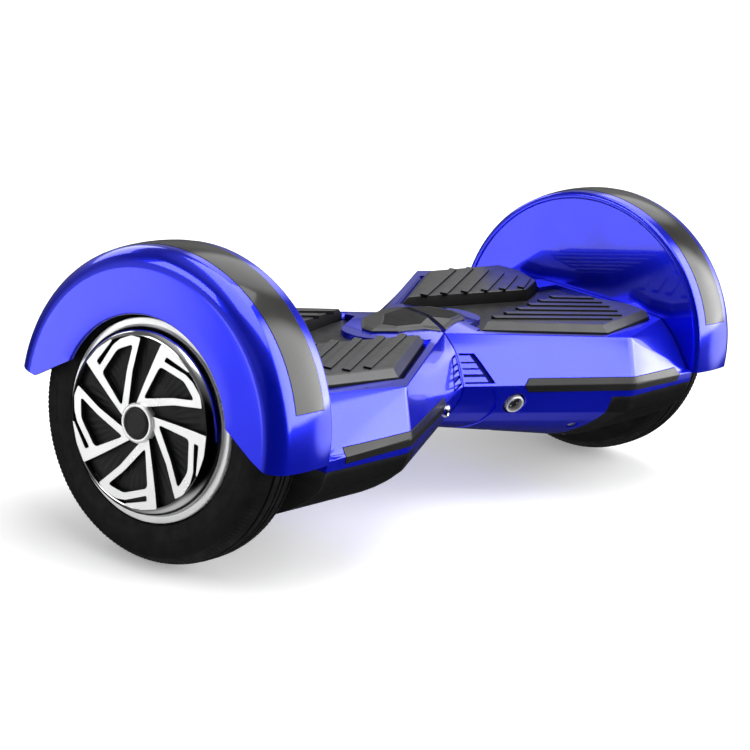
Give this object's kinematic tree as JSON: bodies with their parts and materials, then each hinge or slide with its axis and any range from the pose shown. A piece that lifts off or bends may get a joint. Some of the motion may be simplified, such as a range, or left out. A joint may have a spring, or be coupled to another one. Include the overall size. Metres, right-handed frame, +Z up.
{
  "type": "self balancing board",
  "caption": "Two-wheeled self balancing board with a twisting waist, arched fenders, sprung foot pads and hub-motor wheels.",
  "frame": {"origin": "on the floor under the middle of the board, midway between the tyres", "axes": "+X along the wheel axles to the right, +Y to the rear, +Z up"},
  "size_m": [0.6148, 0.2357, 0.2183],
  "materials": {
    "blue_plated": "electroplated gloss",
    "black_plastic": "satin moulded",
    "black_gloss": "semi-gloss",
    "pad_rubber": "matte moulded",
    "smoked_lens": "smoked translucent",
    "tyre_rubber": "matte",
    "bright_alloy": "machined, bright",
    "cast_alloy": "as cast",
    "steel": "brushed",
    "copper": "enamelled wire",
    "circuit_board": "solder mask",
    "battery_wrap": "heat-shrink sleeve"
  },
  "bodies": {
    "left_half": {"left_upper_shell": "blue_plated", "left_lower_shell": "blue_plated", "left_belly_cover": "black_plastic", "left_waist_cover": "pad_rubber", "left_front_light": "smoked_lens", "left_rear_light": "smoked_lens", "left_foot_tray": "black_plastic", "left_sensor_board": "circuit_board", "left_chassis": "cast_alloy", "left_axle_clamp": "cast_alloy", "left_fender": "blue_plated", "left_fender_light": "smoked_lens", "left_axle": "steel", "left_stator": "copper", "pivot_tube": "steel", "pivot_retainer": "steel", "wiring_harness": "black_plastic", "battery_pack": "battery_wrap"},
    "right_half": {"right_upper_shell": "blue_plated", "right_lower_shell": "blue_plated", "right_belly_cover": "black_plastic", "right_waist_cover": "pad_rubber", "right_front_light": "smoked_lens", "right_rear_light": "smoked_lens", "right_foot_tray": "black_plastic", "right_sensor_board": "circuit_board", "right_chassis": "cast_alloy", "right_axle_clamp": "cast_alloy", "right_fender": "blue_plated", "right_fender_light": "smoked_lens", "right_axle": "steel", "right_stator": "copper", "pivot_bush": "black_plastic", "main_board": "circuit_board", "charge_socket": "steel"},
    "left_wheel": {"left_inner_bearing": "steel", "left_outer_bearing": "steel", "left_magnet_ring": "steel", "left_rim": "bright_alloy", "left_motor_cover": "cast_alloy", "left_tyre": "tyre_rubber", "left_wheel_dish": "black_gloss", "left_wheel_trim": "bright_alloy", "left_hub_cap": "black_gloss"},
    "left_front_foot": {"left_front_pad": "pad_rubber"},
    "left_rear_foot": {"left_rear_pad": "pad_rubber"},
    "right_wheel": {"right_inner_bearing": "steel", "right_outer_bearing": "steel", "right_magnet_ring": "steel", "right_rim": "bright_alloy", "right_motor_cover": "cast_alloy", "right_tyre": "tyre_rubber", "right_wheel_dish": "black_gloss", "right_wheel_trim": "bright_alloy", "right_hub_cap": "black_gloss"},
    "right_front_foot": {"right_front_pad": "pad_rubber"},
    "right_rear_foot": {"right_rear_pad": "pad_rubber"},
    "button": {"power_button": "steel"}
  },
  "joints": [
    {"name": "waist_twist", "type": "hinge", "parent": "left_half", "child": "right_half", "pos_m": [0, 0, 0.1], "axis": [1, 0, 0], "range_deg": [-12, 12]},
    {"name": "left_wheel_spin", "type": "hinge", "parent": "left_half", "child": "left_wheel", "pos_m": [-0.2705, 0, 0.1], "axis": [1, 0, 0], "continuous": true},
    {"name": "left_front_foot_press", "type": "slide", "parent": "left_half", "child": "left_front_foot", "axis": [0, 0, -1], "range_m": [0, 0.002], "stiffness_N_per_m": 3000, "springref_m": -0.002},
    {"name": "left_rear_foot_press", "type": "slide", "parent": "left_half", "child": "left_rear_foot", "axis": [0, 0, -1], "range_m": [0, 0.002], "stiffness_N_per_m": 3000, "springref_m": -0.002},
    {"name": "right_wheel_spin", "type": "hinge", "parent": "right_half", "child": "right_wheel", "pos_m": [0.2705, 0, 0.1], "axis": [1, 0, 0], "continuous": true},
    {"name": "right_front_foot_press", "type": "slide", "parent": "right_half", "child": "right_front_foot", "axis": [0, 0, -1], "range_m": [0, 0.002], "stiffness_N_per_m": 3000, "springref_m": -0.002},
    {"name": "right_rear_foot_press", "type": "slide", "parent": "right_half", "child": "right_rear_foot", "axis": [0, 0, -1], "range_m": [0, 0.002], "stiffness_N_per_m": 3000, "springref_m": -0.002},
    {"name": "power_press", "type": "slide", "parent": "left_half", "child": "button", "axis": [-0.3756, 0.9206, 0.107], "range_m": [0, 0.0012], "stiffness_N_per_m": 400, "springref_m": -0.001}
  ]
}
